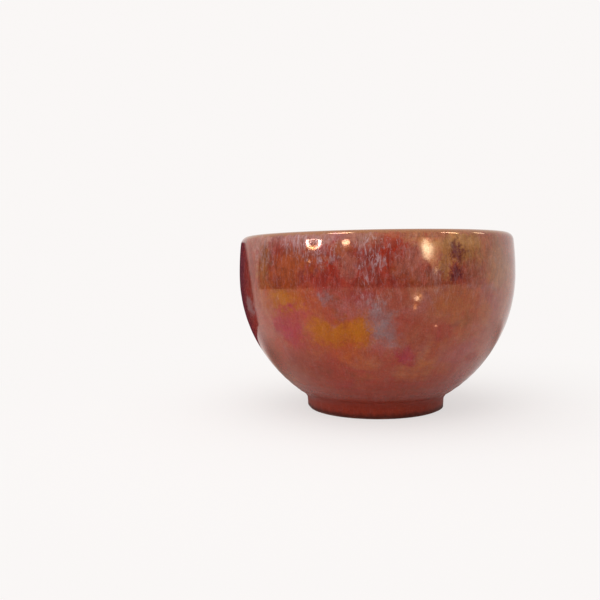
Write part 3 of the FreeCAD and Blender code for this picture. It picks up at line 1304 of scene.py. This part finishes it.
def room_tone(graph):
    """Dark in front, warmer to the right, and fading out above and at both ends."""
    _, level, _, heading = place(graph)
    x, y, _ = graph.parts(heading)
    azimuth = graph.times(graph.math("ARCTAN2", x, graph.times(y, -1.0)), math.degrees(1))
    tone = graph.tint(room_dark, azimuth, room_warm_azimuths, room_warm)
    cover = graph.fade(level, room_top, room_top_share * room_top)
    cover = graph.times(cover, graph.fade(azimuth, *room_left_azimuths))
    return tone, graph.times(cover, graph.fade(azimuth, *room_right_azimuths))


def neighbour_tone(graph):
    """The dark red glow that a second bowl would give on the left edge."""
    where, level, _, _ = place(graph)
    x, y, _ = graph.parts(graph.vector("SUBTRACT", where, (*neighbour_middle, 0.0)))
    beside = graph.math("DIVIDE", graph.length(graph.joined(x, y)), neighbour_half_width)
    above = graph.math("DIVIDE", graph.math("SUBTRACT", level, neighbour_shoulder), neighbour_dome)
    under = graph.math("DIVIDE", graph.math("SUBTRACT", neighbour_shoulder, level), neighbour_belly)
    away = graph.length(graph.joined(beside, graph.math("MAXIMUM", above, under)))
    return neighbour_glow, graph.fade(away, *neighbour_edge_shares)


def add_cards():
    """The dark room, which gives the wall its deep red, and the card on the left."""
    outline = []
    for i in range(room_sides + 1):
        azimuth = room_first + room_turn * i / room_sides
        reach = room_near + room_growth * (azimuth / room_growth_turn) ** 2
        reach += room_step * smooth(*room_step_azimuths, azimuth)
        turn = math.radians(azimuth)
        outline.append((reach * math.sin(turn), -reach * math.cos(turn)))
    add_card("dark_room", outline, room_top, room_tone)
    add_card("dark_neighbour", neighbour_ends, neighbour_top, neighbour_tone)


def glow_material(name, colour, strength, middle, radius):
    """Light that fades out towards the edge of a lamp."""
    material, graph = blank_material(name)
    where, _, _, _ = place(graph)
    away = graph.length(graph.vector("SUBTRACT", where, tuple(middle)))
    show_glow(graph, colour, strength, graph.fade(away, radius, glow_core_share * radius))
    return material


def add_floor_shadows():
    """Painted floor shadow on the left and behind on the right, seen only in the glaze."""
    for (x, y), half, colour in floor_shadow_discs:
        rim = [(x + half * right, y + half * back, floor_shadow_level) for right, back in circle(lamp_sides)]
        mesh = new_mesh("painted_floor_shadow", rim, [tuple(range(lamp_sides))])
        material = glow_material("painted_floor_shadow", colour, 1.0, (x, y, floor_shadow_level), half)
        add_in_glaze("painted_floor_shadow", mesh, material)


def seen_in_glaze(azimuth_degrees, level, distance):
    """Where a lamp must hang to be seen in the glaze at this place, and the way it then faces."""
    arc = (lip_outer_centre, lip_outer) if level > lip_start else arc_at(level)
    point, facing = on_outside(azimuth_degrees, level, *arc)
    sight = (point - Vector((0, -camera_distance, camera_height))).normalized()
    away = sight - 2 * sight.dot(facing) * facing
    return point + away * distance, away


def add_small_lamps():
    """Ovals and an oval ring, seen only in the glaze."""
    for name, azimuth, level, distance, half_width, half_height, strength, colour in small_lamps:
        middle, away = seen_in_glaze(azimuth, level, distance)
        across = away.cross(Vector((0, 0, 1))).normalized() * half_width
        rise = across.normalized().cross(away) * half_height
        rim = [across * x + rise * y for x, y in circle(lamp_sides)]
        hole_share = ring_hole_share if name in lamps_with_a_hole else 0.0
        mesh = flat_ring(name, [middle + p for p in rim], [middle + p * hole_share for p in rim])
        if name in fading_lamps:
            material = glow_material(name, colour, strength, middle, half_width)
        else:
            material, graph = blank_material(name)
            graph.show(emission(graph, colour, strength))
        add_in_glaze(name, mesh, material)


def add_broad_lamps():
    """A broad soft lamp overhead and a weaker one at the front left; neither shows in the glaze."""
    for name, position, size, watts in broad_lamps:
        lamp = bpy.data.lights.new(name, "AREA")
        lamp.shape = "DISK"
        lamp.size = size * MM
        lamp.energy = watts
        made = new_object(name, lamp)
        made.location = Vector(position) * MM
        made.rotation_mode = "QUATERNION"
        made.rotation_quaternion = (Vector(aim) - Vector(position)).to_track_quat("-Z", "Y")
        made.visible_glossy = False
        made.visible_camera = False


def set_world():
    """The background for the camera and the glaze, and a weaker soft light for all else."""
    world = bpy.data.worlds.new("studio")
    bpy.context.scene.world = world
    world.use_nodes = True
    world.node_tree.nodes.clear()
    graph = Graph(world.node_tree)
    soft = graph.node("ShaderNodeBackground", {"Color": world_colour, "Strength": world_strength}).outputs[0]
    pale = graph.node("ShaderNodeBackground", {"Color": background, "Strength": 1.0}).outputs[0]
    graph.node("ShaderNodeOutputWorld", {"Surface": graph.mix_shader(seen_directly(graph), soft, pale)})


def add_camera():
    camera = bpy.data.cameras.new("camera")
    camera.sensor_width = sensor_width
    camera.lens = focal_pixels * sensor_width / photo_width
    camera.clip_start = nearest_seen * MM
    camera.clip_end = farthest_seen * MM
    made = new_object("camera", camera)
    turned = Matrix.Rotation(turned_left, 4, "Z")
    tipped = Matrix.Rotation(upward - tipped_down, 4, "X")
    rolled = Matrix.Rotation(-rolled_right, 4, "Z")
    eye = Vector((0, -camera_distance, camera_height)) * MM
    made.matrix_world = Matrix.Translation(eye) @ turned @ tipped @ rolled
    bpy.context.scene.camera = made


build_object()
add_floor()
add_cards()
add_floor_shadows()
add_small_lamps()
add_broad_lamps()
set_world()
add_camera()

bpy.context.scene.view_settings.view_transform = "Standard"
